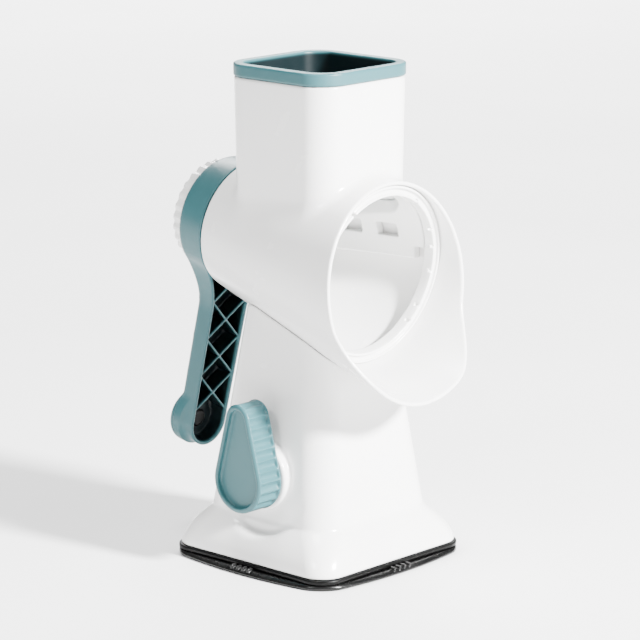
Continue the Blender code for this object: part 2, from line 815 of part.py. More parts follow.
def crank_depth(along):
    """Local Y of the crank's back face: deep at the head, and easing down to the arm."""
    return HEAD_BACK + (ARM_BACK - HEAD_BACK) * smooth_step((along - 0.024) / 0.030)


def swung(mesh_tool):
    """Turns a piece of the crank from pointing straight down to where the arm hangs."""
    return turned(mesh_tool, Matrix.Rotation(CRANK_SWING, 4, "Y"))


def crank_body(inset, front, back_of, draft, bevel):
    """A solid under the crank's outline, from local Y front to back_of(along)."""
    rings = []
    for along, half in crank_profile(inset):
        back = back_of(along)
        narrow = max(half - draft * (back - front) / 0.022, 0.3 * half)
        small = min(bevel, 0.4 * narrow)
        rings.append(
            [
                (-half, front, -along),
                (-narrow, back - small, -along),
                (-narrow + small, back, -along),
                (narrow - small, back, -along),
                (narrow, back - small, -along),
                (half, front, -along),
            ]
        )
    return swung(loft(rings))


def make_crank_arm(axis, teal):
    arm = add_object("crank_arm", crank_body(0.0, CRANK_FRONT, crank_depth, 0.0025, 0.0016), teal, axis)
    floor_y = ARM_BACK - 0.0025
    end = lathe([(END_BOSS_R, ARM_BACK - 0.0051), (END_BOSS_R, ARM_BACK - 0.0003)], 44, False)
    end = swung(turned(end, Matrix.Translation((0, 0, -ARM_LENGTH))))
    join(arm, add_helper("arm_end_boss", end, axis))
    pocket = crank_body(0.0021, CRANK_FRONT - 0.002, lambda along: floor_y, 0.0008, 0.0003)
    cut(arm, add_helper("crank_pocket", pocket, axis))

    hub = lathe([(0.0150, HUB_FRONT), (0.0150, floor_y + 0.001)], 36, False)
    join(arm, add_helper("crank_hub", hub, axis))
    boss = turned(
        lathe([(0.0118, floor_y - 0.0020), (0.0118, floor_y + 0.001)], 32, False),
        Matrix.Translation((0, 0, -ARM_LENGTH)),
    )
    join(arm, add_helper("grip_boss", swung(boss), axis))

    ribs = []
    for lean in (1, -1):
        for index in range(RIB_COUNT):
            along = RIB_FIRST + index * RIB_PITCH
            reach = (ARM_HALF - 0.0026 - 0.010 * max(0.0, along - 0.05)) / math.sin(RIB_ANGLE)
            rib = box((-0.0006, CRANK_FRONT + 0.0010, -reach), (0.0006, floor_y + 0.001, reach))
            rib = turned(rib, Matrix.Rotation(lean * RIB_ANGLE, 4, "Y"))
            ribs.append(swung(turned(rib, Matrix.Translation((0, 0, -along)))))
    for index, rib in enumerate(ribs):
        join(arm, add_helper(f"crank_rib_{index}", rib, axis))

    square = SQUARE_HALF + GAP
    bore = box((-square, CRANK_FRONT - 0.002, -square), (square, HEAD_BACK + 0.002, square))
    cut(arm, add_helper("crank_bore", bore, axis))
    pin_bore = turned(
        lathe([(0.0029, CRANK_FRONT), (0.0029, HEAD_BACK)], 24, False),
        Matrix.Translation((0, 0, -ARM_LENGTH)),
    )
    cut(arm, add_helper("grip_pin_bore", swung(pin_bore), axis))


def make_drive_spindle(axis, metal):
    """Turned shaft with a hexagonal dog for the drum in front, and a square for the crank behind."""
    journal = 0.0059
    spindle = add_object(
        "drive_spindle",
        lathe([(journal, 0.0960), (journal, HUB_FRONT - GAP)], 32, False),
        metal,
        axis,
    )
    dog = lathe([(0.0080, 0.0850), (0.0100, 0.0870), (0.0100, 0.0988)], 6, False)
    join(spindle, add_helper("spindle_dog", dog, axis))
    half = SQUARE_HALF
    square = box((-half, CRANK_FRONT, -half), (half, HEAD_BACK - 0.0018, half))
    join(
        spindle,
        add_helper("spindle_square", square, axis),
        add_helper("spindle_stud", lathe([(0.0032, 0.1280), (0.0032, 0.1365)], 24, False), axis),
    )


def make_thrust_washer(axis, grey):
    near, far = TAIL_Y + GAP, HUB_FRONT - GAP
    profile = [(0.0062, near), (0.0135, near), (0.0135, far), (0.0062, far)]
    add_object("thrust_washer", lathe(profile, 36), grey, axis)


def fluted_ring(radius, y, depth, flutes, per_flute=4):
    points = []
    count = flutes * per_flute
    for index in range(count):
        angle = 2 * math.pi * index / count
        wave = 0.5 * (1 + math.cos(flutes * angle))
        reach = radius - depth * (1 - wave)
        points.append((reach * math.sin(angle), y, reach * math.cos(angle)))
    return points


def make_lock_knob(axis, white):
    """The fluted hand nut behind the crank."""
    depth = 0.0011
    knob = add_object(
        "lock_knob",
        loft(
            [
                fluted_ring(LOCK_R - 0.0012, LOCK_FRONT, depth * 0.6, LOCK_FLUTES),
                fluted_ring(LOCK_R, LOCK_FRONT + 0.0010, depth, LOCK_FLUTES),
                fluted_ring(LOCK_R - 0.0004, LOCK_BACK - 0.0016, depth, LOCK_FLUTES),
                fluted_ring(LOCK_R - 0.0018, LOCK_BACK, depth * 0.4, LOCK_FLUTES),
            ]
        ),
        white,
        axis,
    )
    stud_hole = lathe([(0.0036, LOCK_FRONT - 0.001), (0.0036, 0.1372)], 24, False)
    dish = lathe([(0.0225, LOCK_BACK - 0.0010), (0.0240, LOCK_BACK + 0.001)], 48, False)
    cut(knob, add_helper("lock_stud_hole", stud_hole, axis), add_helper("lock_dish", dish, axis))


def grip_axis(axis):
    empty = bpy.data.objects.new("grip_axis", None)
    bpy.context.scene.collection.objects.link(empty)
    empty.parent = axis
    empty.location = Matrix.Rotation(CRANK_SWING, 4, "Y") @ Vector((0, 0, -ARM_LENGTH))
    return empty


def make_grip(axis, teal, metal):
    """The low round finger knob on the arm's end, and the rivet that it turns on."""
    centre = grip_axis(axis)
    bore = 0.0029
    profile = [
        (bore, GRIP_FRONT),
        (GRIP_R - 0.0010, GRIP_FRONT),
        (GRIP_R, GRIP_FRONT + 0.0010),
        (GRIP_R, GRIP_BACK - 0.0026),
        (GRIP_R - 0.0008, GRIP_BACK - 0.0010),
        (GRIP_R - 0.0028, GRIP_BACK),
        (0.0078, GRIP_BACK - 0.0004),
        (0.0064, GRIP_BACK - 0.0014),
        (bore, GRIP_BACK - 0.0014),
    ]
    add_object("grip_knob", lathe(profile, 48), teal, centre)
    head_y = ARM_BACK - 0.0025 - 0.0020 - GAP
    pin = [
        (0.0045, head_y - 0.0016),
        (0.0056, head_y - 0.0008),
        (0.0056, head_y),
        (0.0025, head_y),
        (0.0025, GRIP_BACK - 0.0014 + GAP),
        (0.0050, GRIP_BACK - 0.0014 + GAP),
        (0.0044, GRIP_BACK - 0.0002),
    ]
    add_object("grip_rivet", lathe(pin, 28, False), metal, centre)


# ---------------------------------------------------------------- pusher
def make_pusher(teal):
    """The hollow food pusher: a square cup whose rim rests on the hopper."""
    rim_low = HOPPER_TOP + GAP

    def ring(half, corner, z):
        return rounded_square(half, corner, z, HOPPER_Y, steps=7)

    corner = HOPPER_CORNER
    rim = PUSHER_RIM_HALF
    body = PUSHER_HALF
    inside = PUSHER_INSIDE
    rings = [
        ring(body - 0.0012, corner - 0.005, PUSHER_FLOOR),
        ring(body - 0.0006, corner - 0.005, PUSHER_FLOOR + 0.0010),
        ring(body, corner - 0.0042, rim_low),
        ring(rim - 0.0004, corner + 0.0004, rim_low),
        ring(rim, corner + 0.0006, rim_low + 0.0006),
        ring(rim, corner + 0.0006, PUSHER_TOP - 0.0022),
        ring(rim - 0.0007, corner, PUSHER_TOP - 0.0007),
        ring(rim - 0.0023, corner - 0.001, PUSHER_TOP),
        ring(inside + 0.0012, corner - 0.004, PUSHER_TOP),
        ring(inside + 0.0002, corner - 0.005, PUSHER_TOP - 0.0008),
        ring(inside, corner - 0.006, PUSHER_TOP - 0.0022),
        ring(inside - 0.0010, corner - 0.007, PUSHER_FLOOR + 0.0030),
    ]
    pusher = add_object("pusher", loft(rings), teal)
    ribs = []
    for step in range(-2, 3):
        x = step * 0.0125
        ribs.append(box((x - 0.0009, HOPPER_Y - 0.031, PUSHER_FLOOR - 0.0020), (x + 0.0009, HOPPER_Y + 0.031, PUSHER_FLOOR + 0.001)))
    join(pusher, add_helper("pusher_ribs", merged(ribs)))


# ---------------------------------------------------------------- assembly
def build():
    clear_scene()
    white = make_material("white_abs", (0.86, 0.85, 0.84), 0.35)
    teal = make_material("teal_abs", (0.27, 0.43, 0.45), 0.45)
    black = make_material("black_abs", (0.012, 0.012, 0.013), 0.22)
    rubber = make_material("black_rubber", (0.015, 0.015, 0.016), 0.38)
    grey = make_material("natural_nylon", (0.62, 0.61, 0.58), 0.50)
    metal = make_material("steel", (0.62, 0.62, 0.63), 0.30, 1.0)

    axis = bpy.data.objects.new("barrel_axis", None)
    bpy.context.scene.collection.objects.link(axis)
    axis.location = MOUTH
    axis.rotation_euler = (TILT, 0, 0)

    bore = make_barrel(axis, white)
    make_mouth_ring(axis, white)
    make_throat_liner(axis, bore, white)
    make_spindle_bush(axis, grey)

    make_pedestal(axis, white)
    make_saddle_fasteners(metal)
    make_suction_pad(rubber)
    make_base_frame(black)
    make_base_plate(grey)
    make_base_screws(metal)

    make_cam_frame(grey)
    make_cam_frame_screws(metal)
    make_cam_shaft(metal)
    make_shaft_clip(metal)
    make_lever_bush(grey)
    make_suction_knob(teal)
    make_pull_rod(metal)
    make_return_spring(metal)

    make_crank_arm(axis, teal)
    make_drive_spindle(axis, metal)
    make_thrust_washer(axis, grey)
    make_lock_knob(axis, white)
    make_grip(axis, teal, metal)

    make_pusher(teal)


build()
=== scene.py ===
"""Studio scene for the rotary cheese grater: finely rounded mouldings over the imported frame.

Each moulding is described as a field, a function that is negative inside the solid and positive outside it, so
that walls, fillets and rounded edges come from joining and cutting fields smoothly. The zero surface is then
meshed. World axes: +Z up, -Y the way the barrel pours, +Y the crank's side, -X the suction lever's side.
Names that end in EDGE are the rounding of a solid's edges or of a cut's lip, in CORNER that of an outline's or
a hollow's corners, and in FILLET that of the crease where two solids join.
"""

import json
import math

import bpy
import numpy as np
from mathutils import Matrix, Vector


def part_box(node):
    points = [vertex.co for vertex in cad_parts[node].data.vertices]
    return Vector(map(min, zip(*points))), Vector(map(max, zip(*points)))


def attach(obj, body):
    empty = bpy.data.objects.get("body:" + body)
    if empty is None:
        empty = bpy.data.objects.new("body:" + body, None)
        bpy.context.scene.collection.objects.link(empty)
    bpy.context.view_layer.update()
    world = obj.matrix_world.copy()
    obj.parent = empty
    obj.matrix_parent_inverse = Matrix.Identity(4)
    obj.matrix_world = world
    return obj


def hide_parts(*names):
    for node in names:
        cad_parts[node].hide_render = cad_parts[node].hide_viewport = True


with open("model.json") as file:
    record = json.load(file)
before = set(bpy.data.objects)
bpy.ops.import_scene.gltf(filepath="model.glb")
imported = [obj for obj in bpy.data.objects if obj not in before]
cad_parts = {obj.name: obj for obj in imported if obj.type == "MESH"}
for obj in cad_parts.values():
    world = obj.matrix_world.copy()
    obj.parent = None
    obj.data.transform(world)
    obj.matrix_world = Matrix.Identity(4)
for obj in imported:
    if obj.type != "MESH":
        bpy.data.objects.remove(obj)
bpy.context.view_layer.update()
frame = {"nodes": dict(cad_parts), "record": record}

# ---------------------------------------------------------------- dimensions, in metres, as in the frame
GAP = 0.0003
WALL = 0.0025

# barrel and pouring chute
TILT = math.radians(9.0)
MOUTH = (0.0, -0.0472, 0.1781)
MOUTH_R = 0.0575
TAIL_R = 0.0402
TAIL_Y = 0.1075
TAPER_LENGTH = 0.1080
TAPER = (MOUTH_R - TAIL_R) / TAPER_LENGTH
BARREL_EDGE = 0.0012
BACK_WALL = 0.004
CHAMBER_CORNER = 0.0040
BUSH_BORE_R = 0.0088
BUSH_BORE_START = 0.0900
BUSH_BORE_EDGE = 0.0005
CHUTE_SIDE = 0.0165
CHUTE_SLANT = 0.253
CHUTE_SQUEEZE = 0.95  # keeps the slanted rim's field about as steep as a true distance
TONGUE = 0.0177
TONGUE_START, TONGUE_END = math.radians(106), math.radians(152)

# hopper
HOPPER_Y = -0.0014
HOPPER_TOP = 0.2920
HOPPER_HALF = 0.0410
HOPPER_CORNER = 0.0180
HOPPER_FOOT = 0.1870
HOPPER_FOOT_HALF = 0.0396
HOPPER_FILLET = 0.0060
THROAT_BOTTOM = HOPPER_FOOT + 0.0020

# pedestal
SKIRT_BOTTOM, SKIRT_TOP = 0.0065, 0.0300
SKIRT_HALF = 0.0630
SKIRT_CORNER = 0.0150
SKIRT_POWER = 1.8
SKIRT_FILLET = 0.0012
WAIST_HALF = 0.0503
WAIST_CORNER = 0.0180
NECK_Z = 0.1720
NECK_HALF = 0.0327
SADDLE_WALL = 0.0030
PEDESTAL_EDGE = 0.0010
INSIDE_DROP = 0.0020  # thickens the skirt's wall, which slopes too much for a wall measured sideways

# foot
PAD_SOLE = 0.0016
PAD_TOP = 0.0032
PAD_HALF = 0.0631
PAD_CORNER = 0.0140
PAD_EDGE = 0.0012
PAD_BULGE = 0.0065
PAD_BULGE_LOSS = 0.4  # share of the bulge that is gone at the pad's top
PAD_HUB_R = 0.0120
PAD_HUB_BOTTOM, PAD_HUB_TOP = 0.0020, 0.0080
PAD_HUB_EDGE = 0.0010
SOCKET_R = 0.0083
SOCKET_BOTTOM, SOCKET_TOP = 0.0030, 0.0058
STEM_HOLE_R = 0.0036
STEM_HOLE_BOTTOM = 0.0055
TAB_START, TAB_END = 0.0648, 0.0689
TAB_PLACES = (-0.0066, -0.0022, 0.0022, 0.0066)
TAB_HALF = 0.0008
TAB_BOTTOM, TAB_TOP = 0.0022, 0.0048
TAB_FILLET = 0.0004
FRAME_BOTTOM, FRAME_TOP = 0.0035, 0.0062
FRAME_HALF = 0.0641
FRAME_CORNER = 0.0150
FRAME_INNER = 0.0560
FRAME_INNER_CORNER = 0.0110
FRAME_EDGE = 0.0009

# suction lever, and its seat in the pedestal
LEVER_Z = 0.0571
LEVER_BACK_X = -0.0519
LEVER_FACE_X = -0.0707
LEVER_WIDE_R = 0.0194
LEVER_NARROW_R = 0.0098
LEVER_NARROW_Z = 0.0376
LEVER_FACE_EDGE = 0.0030
LEVER_BACK_EDGE = 0.0020
LEVER_FLUTES = 13
FLUTE_DEPTH = 0.0019
FLUTE_SINK = 0.0003
FLUTE_MARGIN = 0.0012
FLUTE_RISE, FLUTE_FALL = 5, 14  # how fast the flutes deepen from the lever's lowest point and fade to its top
RECESS_RIM = 0.0036
RECESS_DEPTH = 0.0032
RECESS_CORNER = 0.0016
RECESS_EDGE = 0.0010
SHAFT_R = 0.0040
SHAFT_END_X = -0.0603
BOSS_R = 0.0209
BOSS_FACE_X = LEVER_BACK_X + 0.0004
BOSS_ROOT_X = -0.0432
BOSS_EDGE = 0.0016
DISH_R = 0.0360
DISH_X = -0.0500
DISH_CORNER = 0.0040
DISH_FILLET = 0.0030
BUSH_SEAT_R = 0.0105
BUSH_SEAT_START_X, BUSH_SEAT_X = -0.0475, -0.0422
LEVER_BORE_R = 0.0068
LEVER_BORE_START_X, LEVER_BORE_END_X = -0.0600, -0.0300

# crank
CRANK_FRONT = 0.1090
CRANK_DRAFT = 0.0025 / 0.0220
CRANK_WALL = 0.0021
CRANK_EDGE = 0.0008
CRANK_BACK_EDGE = 0.0048
HUB_FRONT = 0.1098
HUB_R = 0.0150
HUB_FILLET = 0.0010
HEAD_BACK = 0.1310
HEAD_R = 0.0390
HEAD_SLOPE_START, HEAD_SLOPE_LENGTH = 0.0240, 0.0300
ARM_BACK = 0.1240
FLOOR_Y = ARM_BACK - 0.0025
FLOOR_BITE = 0.0010  # how far what stands on the floor reaches into it
POCKET_CORNER = 0.0027
SQUARE_HALF = 0.0041
ARM_LENGTH = 0.1290
ARM_HALF = 0.0160
ARM_END_R = 0.0150
ARM_FILLET = 0.0450
END_BOSS_R = 0.0162
END_BOSS_DEPTH = 0.0050
END_BOSS_EDGE = 0.0006
END_BOSS_FILLET = 0.0060
CRANK_SWING = math.radians(5.5)
RIB_PITCH = 0.0236
RIB_FIRST = 0.0390
RIB_COUNT = 4
RIB_ANGLE = math.radians(50.0)
RIB_HALF = 0.0006
RIB_REACH = 0.0132
RIB_INSET = 0.0010
RIB_FILLET = 0.0005
RIVET_SEAT_R = 0.0118
RIVET_SEAT_DEPTH = 0.0020
RIVET_HOLE_R = 0.0029

# lock knob and grip
LOCK_R = 0.0325
LOCK_FRONT, LOCK_BACK = 0.1313, 0.1397
LOCK_EDGE = 0.0024
LOCK_FLUTES = 28
LOCK_FLUTE_DEPTH = 0.0011
LOCK_DISH_R = 0.0240
LOCK_DISH_DEPTH = 0.0010
LOCK_DISH_CORNER = 0.0012
LOCK_DISH_EDGE = 0.0010
LOCK_BORE_R = 0.0036
LOCK_BORE_END = 0.1372
GRIP_R = 0.0166
GRIP_FRONT, GRIP_BACK = 0.1244, 0.1290
GRIP_FRONT_EDGE, GRIP_BACK_EDGE = 0.0006, 0.0056
GRIP_SINK_R = 0.0070
GRIP_SINK_DEPTH = 0.0014
GRIP_SINK_CORNER = 0.0008
GRIP_SINK_EDGE = 0.0012

# mouth ring and liner
RING_R = 0.0546
RING_BORE_R = 0.0485
RING_FRONT, RING_BACK = -0.0012, 0.0058
RING_EDGE = 0.0006
RING_LIP = 0.0016
RING_LIP_GAP = 0.0001
RING_OUTER_LIP_BACK = RING_BACK - 0.0040
RING_NOTCHES = (34.0, 64.0, 78.0, 96.0, 122.0, 135.0)  # degrees from the top, down each side
NOTCH_HALF = 0.0010
NOTCH_DEPTH = 0.0024
NOTCH_BACK = 0.0022
NOTCH_EDGE = 0.0004
LINER_FRONT, LINER_BACK = 0.0066, 0.0985
LINER_THICK = 0.0056
LINER_EDGE = 0.0008
LINER_BOTTOM = 0.1790
LINER_STEP_Y, LINER_STEP_Z = -0.0350, 0.1865
WINDOW_STARTS = (-0.0250, 0.0012)
WINDOW_LENGTH = 0.0150
WINDOW_BOTTOM, WINDOW_TOP = 0.1914, 0.1996
WINDOW_CORNER = 0.0006
WINDOW_EDGE = 0.0005

# pusher
PUSHER_TOP = 0.3000
PUSHER_RIM_HALF = 0.0415
PUSHER_RIM_CORNER = HOPPER_CORNER + 0.0006
PUSHER_RIM_EDGE = 0.0012
PUSHER_HALF = 0.0372
PUSHER_CORNER = 0.0145
PUSHER_DRAFT = 0.0010
PUSHER_EDGE = 0.0016
PUSHER_SHANK_TOP = PUSHER_TOP - 0.0010
PUSHER_FLOOR = 0.2345
PUSHER_FLOOR_THICK = 0.0030
PUSHER_INSIDE = 0.0352
PUSHER_INSIDE_CORNER = 0.0125
PUSHER_INSIDE_DRAFT = 0.0012
PUSHER_CUP_CORNER = 0.0060
# where the painted shade inside the pusher's cup starts and fades
PUSHER_LIGHT_RIM = 0.0004
PUSHER_DARK_FADE = 0.0008
PUSHER_DARK_DROP = 0.0020
PRESS_RIBS = range(-2, 3)
PRESS_RIB_PITCH = 0.0125
PRESS_RIB_HALF = 0.0009
PRESS_RIB_REACH = 0.0310
PRESS_RIB_DEPTH = 0.0020
PRESS_RIB_BITE = 0.0010
PRESS_RIB_FILLET = 0.0004


# ---------------------------------------------------------------- fields
def join(a, b, blend=0.0):
    """The union of two fields, with a fillet where blend is above 0."""
    if blend <= 0:
        return np.minimum(a, b)
    share = np.clip(0.5 + 0.5 * (b - a) / blend, 0, 1)
    return b + (a - b) * share - blend * share * (1 - share)


def both(a, b, blend=0.0):
    """What is inside both fields, with its edge rounded where blend is above 0."""
    return -join(-a, -b, blend)


def cut(a, b, blend=0.0):
    """What is inside a and outside b."""
    return both(a, -b, blend)


def between(value, low, high):
    return np.maximum(low - value, value - high)


def rounded_square(x, y, half, corner):
    qx = np.abs(x) - half + corner
    qy = np.abs(y) - half + corner
    return np.hypot(np.maximum(qx, 0), np.maximum(qy, 0)) + np.minimum(np.maximum(qx, qy), 0) - corner


def box(x, y, z, low, high):
    return np.maximum.reduce([between(*values) for values in zip((x, y, z), low, high)])


def smooth_step(share):
    share = np.clip(share, 0, 1)
    return share * share * (3 - 2 * share)


def barrel_axes(x, y, z):
    """(across, along, up) in the barrel's own frame."""
    dy, dz = y - MOUTH[1], z - MOUTH[2]
    return x, dy * math.cos(TILT) + dz * math.sin(TILT), dz * math.cos(TILT) - dy * math.sin(TILT)


def barrel_skin(across, along, up):
    return (np.hypot(across, up) - MOUTH_R + TAPER * along) * math.cos(math.atan(TAPER))


MARGIN_LOW, MARGIN_HIGH = 1.6, 2.6  # cells of room round a piece's box
SETTLE_ROUNDS = 3
SLOPE_STEP = 0.05  # in cells
MOST_SETTLE = 0.5  # in cells
LEAST_SLOPE = 0.05
CORNERS_ROUND_AN_EDGE = ((0, 0), (-1, 0), (-1, -1), (0, -1))


def surface(name, field, low, high, cell, depth=None):
    """An object whose mesh is the field's zero surface: one vertex in each grid cell that the surface crosses,
    moved on to the surface along the field's slope. depth gives each vertex's share of painted shade, which
    darkens the piece's deep inner faces."""
    axes = [np.arange(a - MARGIN_LOW * cell, b + MARGIN_HIGH * cell, cell) for a, b in zip(low, high)]
    values = field(*np.meshgrid(*axes, indexing="ij"))
    shape = values.shape
    cells, points, quads, start = [], [], [], 0
    for axis in range(3):
        count = shape[axis] - 1
        first = np.take(values, range(count), axis)
        second = np.take(values, range(1, count + 1), axis)
        hits = np.argwhere((first < 0) != (second < 0))
        a = first[tuple(hits.T)]
        b = second[tuple(hits.T)]
        crossing = hits.astype(float)
        crossing[:, axis] += a / (a - b)
        u, v = (axis + 1) % 3, (axis + 2) % 3
        ring = []
        for du, dv in CORNERS_ROUND_AN_EDGE:
            cube = hits.copy()
            cube[:, u] += du
            cube[:, v] += dv
            cells.append(np.ravel_multi_index(cube.T, shape))
            points.append(crossing)
            ring.append(np.arange(start, start + len(hits)))
            start += len(hits)
        ring = np.stack(ring, 1)
        quads.append(np.where((a < 0)[:, None], ring, ring[:, ::-1]))
    _, index = np.unique(np.concatenate(cells), return_inverse=True)
    index = index.reshape(-1)
    points = np.concatenate(points)
    number = np.bincount(index)
    spots = np.stack([np.bincount(index, points[:, i]) / number for i in range(3)], 1)
    spots = spots * cell + np.array([axis[0] for axis in axes])
    spots = settle(spots, field, cell)
    mesh = bpy.data.meshes.new(name)
    mesh.from_pydata(spots.tolist(), [], index[np.concatenate(quads)].tolist())
    if depth:
        # the inside attribute holds each vertex's share of painted shade
        shade = mesh.attributes.new("inside", "FLOAT", "POINT")
        shade.data.foreach_set("value", np.ascontiguousarray(depth(*spots.T), np.float32))
    mesh.shade_smooth()
    obj = bpy.data.objects.new(name, mesh)
    bpy.context.scene.collection.objects.link(obj)
    return obj


def settle(spots, field, cell):
    """Moves points on to the field's zero surface, by at most half a cell."""
    start = spots.copy()
    step = cell * SLOPE_STEP
    for _ in range(SETTLE_ROUNDS):
        value = field(*spots.T)
        slope = np.empty_like(spots)
        for i in range(3):
            shift = np.zeros(3)
            shift[i] = step
            slope[:, i] = (field(*(spots + shift).T) - field(*(spots - shift).T)) / (2 * step)
        size = np.maximum((slope**2).sum(1), LEAST_SLOPE)
        spots = spots - slope * (value / size)[:, None]
        spots = start + np.clip(spots - start, -MOST_SETTLE * cell, MOST_SETTLE * cell)
    return spots


# ---------------------------------------------------------------- white mouldings
def chute_reach(angle):
    """How far the rim stands out before the mouth, at an angle from the barrel's top."""
    lean = CHUTE_SLANT * np.cos(angle)
    flat = (CHUTE_SIDE - MOUTH_R * lean) / (1 + TAPER * lean)
    return flat + TONGUE * smooth_step((angle - TONGUE_START) / (TONGUE_END - TONGUE_START))


def hopper_walls(x, y, z, inset=0.0):
    half = HOPPER_FOOT_HALF + (HOPPER_HALF - HOPPER_FOOT_HALF) * (z - HOPPER_FOOT) / (HOPPER_TOP - HOPPER_FOOT)
    return rounded_square(x, y - HOPPER_Y, half - inset, HOPPER_CORNER - inset)


def throat(x, y, z):
    """The hollow that the food falls through, from the hopper into the chamber."""
    return np.maximum(hopper_walls(x, y, z, WALL), THROAT_BOTTOM - z)


def barrel_field(x, y, z):
    across, along, up = barrel_axes(x, y, z)
    skin = barrel_skin(across, along, up)
    rim = (-along - chute_reach(np.arctan2(np.abs(across), up))) * CHUTE_SQUEEZE
    barrel = both(both(skin, rim, BARREL_EDGE), along - TAIL_Y, 2 * BARREL_EDGE)
    hopper = both(both(hopper_walls(x, y, z), z - HOPPER_TOP, BARREL_EDGE), HOPPER_FOOT - z)
    body = join(barrel, hopper, HOPPER_FILLET)
    chamber = both(skin + WALL, along - TAIL_Y + BACK_WALL, CHAMBER_CORNER)
    body = cut(body, chamber, BARREL_EDGE)
    body = cut(body, throat(x, y, z), BARREL_EDGE)
    bush_bore = np.maximum(np.hypot(across, up) - BUSH_BORE_R, BUSH_BORE_START - along)
    return cut(body, bush_bore, BUSH_BORE_EDGE)


def pedestal_walls(x, y, z, inset=0.0):
    share = np.clip((z - SKIRT_BOTTOM) / (SKIRT_TOP - SKIRT_BOTTOM), 0, 1)
    skirt = WAIST_HALF + (SKIRT_HALF - WAIST_HALF) * (1 - share**SKIRT_POWER) - np.maximum(z - SKIRT_TOP, 0)
    column = WAIST_HALF + (z - SKIRT_TOP) * (NECK_HALF - WAIST_HALF) / (NECK_Z - SKIRT_TOP)
    half = both(skirt, column, SKIRT_FILLET)
    corner = SKIRT_CORNER + (WAIST_CORNER - SKIRT_CORNER) * share
    return rounded_square(x, y, half - inset, corner - inset)


def pedestal_field(x, y, z):
    skin = barrel_skin(*barrel_axes(x, y, z))
    round_lever = np.hypot(y, z - LEVER_Z)
    dish = both(round_lever - DISH_R, x - DISH_X, DISH_CORNER)
    body = both(pedestal_walls(x, y, z), SKIRT_BOTTOM - z, PEDESTAL_EDGE)
    body = cut(body, dish, DISH_FILLET)
    boss = both(round_lever - BOSS_R, between(x, BOSS_FACE_X, BOSS_ROOT_X), BOSS_EDGE)
    body = join(body, boss, BOSS_EDGE)
    dish_wall = np.maximum(round_lever - DISH_R - WALL, x - DISH_X - WALL)
    inside = np.maximum(pedestal_walls(x, y, z + INSIDE_DROP, WALL), GAP + SADDLE_WALL - skin)
    inside = np.maximum(inside, -dish_wall)
    seat = np.maximum(round_lever - BUSH_SEAT_R, between(x, BUSH_SEAT_START_X, BUSH_SEAT_X))
    body = join(cut(body, inside), seat)
    body = cut(body, skin - GAP, PEDESTAL_EDGE)
    bore = np.maximum(round_lever - LEVER_BORE_R, between(x, LEVER_BORE_START_X, LEVER_BORE_END_X))
    return cut(body, bore)


def ring_field(x, y, z):
    across, along, up = barrel_axes(x, y, z)
    radius = np.hypot(across, up)
    web_outside = np.minimum(RING_R, MOUTH_R - TAPER * along - WALL - GAP)
    web_depth = between(along, RING_FRONT + RING_LIP, RING_BACK)
    web = both(between(radius, RING_BORE_R, web_outside), web_depth, RING_EDGE)
    inner_width = between(radius, RING_BORE_R, RING_BORE_R + RING_LIP)
    inner_lip = both(inner_width, between(along, RING_FRONT, RING_BACK), RING_EDGE)
    outer_width = between(radius, RING_R - RING_LIP, RING_R - RING_LIP_GAP)
    outer_lip = both(outer_width, between(along, RING_FRONT, RING_OUTER_LIP_BACK), RING_EDGE)
    ring = join(join(web, inner_lip, RING_EDGE), outer_lip, RING_EDGE)
    angle = np.arctan2(np.abs(across), up)
    for degrees in RING_NOTCHES:
        offset = np.abs(angle - math.radians(degrees)) * RING_BORE_R
        reach = radius - RING_BORE_R - NOTCH_DEPTH
        notch = np.maximum.reduce([offset - NOTCH_HALF, reach, along - NOTCH_BACK])
        ring = cut(ring, notch, NOTCH_EDGE)
    return ring


def liner_field(x, y, z):
    across, along, up = barrel_axes(x, y, z)
    skin = barrel_skin(across, along, up)
    outer = WALL + GAP
    thickness = between(skin, -outer - LINER_THICK, -outer)
    liner = both(thickness, between(along, LINER_FRONT, LINER_BACK), LINER_EDGE)
    liner = cut(liner, z - LINER_BOTTOM, LINER_EDGE)
    liner = cut(liner, np.maximum(y - LINER_STEP_Y, z - LINER_STEP_Z), LINER_EDGE)
    liner = cut(liner, throat(x, y, z), LINER_EDGE)
    for start in WINDOW_STARTS:
        width = between(y, start, start + WINDOW_LENGTH)
        window = both(width, between(z, WINDOW_BOTTOM, WINDOW_TOP), WINDOW_CORNER)
        liner = cut(liner, window, WINDOW_EDGE)
    return liner


def lock_knob_field(x, y, z):
    across, along, up = barrel_axes(x, y, z)
    radius = np.hypot(across, up)
    wave = 0.5 + 0.5 * np.cos(LOCK_FLUTES * np.arctan2(across, up))
    side = radius - LOCK_R + LOCK_FLUTE_DEPTH * (1 - wave)
    knob = both(side, between(along, LOCK_FRONT, LOCK_BACK), LOCK_EDGE)
    dish = both(radius - LOCK_DISH_R, LOCK_BACK - LOCK_DISH_DEPTH - along, LOCK_DISH_CORNER)
    knob = cut(knob, dish, LOCK_DISH_EDGE)
    return cut(knob, np.maximum(radius - LOCK_BORE_R, along - LOCK_BORE_END))


# ---------------------------------------------------------------- teal mouldings
def crank_axes(x, y, z):
    """(down the arm, across the arm, along the barrel's axis)."""
    across, along, up = barrel_axes(x, y, z)
    down = -up * math.cos(CRANK_SWING) - across * math.sin(CRANK_SWING)
    side = across * math.cos(CRANK_SWING) - up * math.sin(CRANK_SWING)
    return down, side, along


LEAST_SPAN = 1e-6  # keeps the outline's slope finite at the head's widest point


